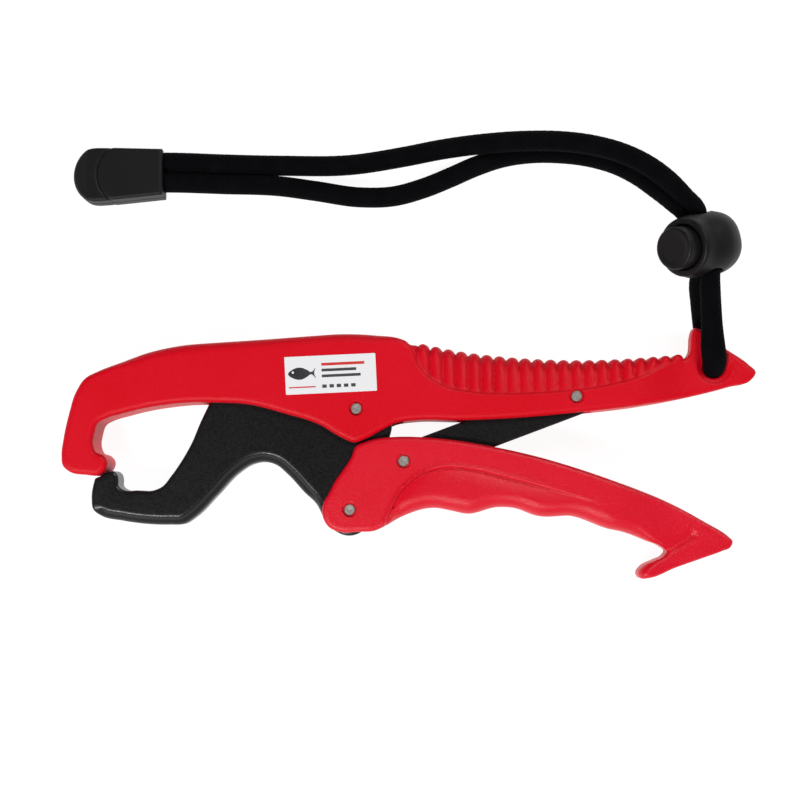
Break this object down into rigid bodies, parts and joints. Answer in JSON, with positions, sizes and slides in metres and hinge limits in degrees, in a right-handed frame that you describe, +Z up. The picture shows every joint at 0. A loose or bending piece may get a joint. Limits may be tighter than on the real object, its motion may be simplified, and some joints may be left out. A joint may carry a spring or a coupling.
{
  "type": "lip grip",
  "caption": "Locking plier-type fish lip grip with a ribbed handle, a finger-grooved lever handle and a cord lanyard with lock and end cap.",
  "frame": {"origin": "on the surface the tool lies on, under the middle of the tool's own box, without the lanyard", "axes": "+X from the jaws toward the tail of the handles, +Y from the lever handle toward the ribbed top edge, +Z up, through the tool's thickness"},
  "size_m": [0.2522, 0.1638, 0.0316],
  "materials": {
    "red_plastic": "moulded red nylon, fine mould grain, satin",
    "black_plastic": "moulded black nylon, satin",
    "pin_steel": "dull cut pin ends",
    "label_film": "white sticker film",
    "cord_braid": "soft black braided cord",
    "lock_plastic": "matt black moulded plastic",
    "spring_steel": "spring wire",
    "cap_plastic": "matt black moulded plastic, fine grain"
  },
  "bodies": {
    "body": {"upper_body": "red_plastic", "jaw_pivot_pin": "pin_steel", "link_rear_pin": "pin_steel", "side_label": "label_film", "lanyard_cord": "cord_braid", "cord_lock_barrel": "lock_plastic", "cord_lock_spring": "spring_steel", "cord_end_base": "cap_plastic", "cord_end_lid": "cap_plastic"},
    "jaw": {"lower_jaw": "black_plastic", "handle_pivot_pin": "pin_steel"},
    "lever": {"lower_handle": "red_plastic", "link_front_pin": "pin_steel"},
    "link": {"toggle_link": "black_plastic"},
    "lock_button": {"cord_lock_button": "lock_plastic"}
  },
  "joints": [
    {"name": "jaw_swing", "type": "hinge", "parent": "body", "child": "jaw", "pos_m": [-0.0196, 0.01588, 0.01], "axis": [0, 0, 1], "range_deg": [0, 22]},
    {"name": "handle_swing", "type": "hinge", "parent": "jaw", "child": "lever", "pos_m": [-0.022, -0.02062, 0.01], "axis": [0, 0, 1], "range_deg": [-75, 0]},
    {"name": "link_swing", "type": "hinge", "parent": "body", "child": "link", "pos_m": [0.0599, 0.02038, 0.01], "axis": [0, 0, 1], "range_deg": [0, 26]},
    {"name": "lock_press", "type": "slide", "parent": "body", "child": "lock_button", "axis": [0.7096, 0.1769, -0.682], "range_m": [0, 0.003], "stiffness_N_per_m": 900, "springref_m": -0.003, "deforming": ["cord_lock_spring"]}
  ],
  "couplings": [
    {"joint": "jaw_swing", "follows": "handle_swing", "ratio": -0.29333},
    {"joint": "link_swing", "follows": "handle_swing", "ratio": -0.34667}
  ]
}
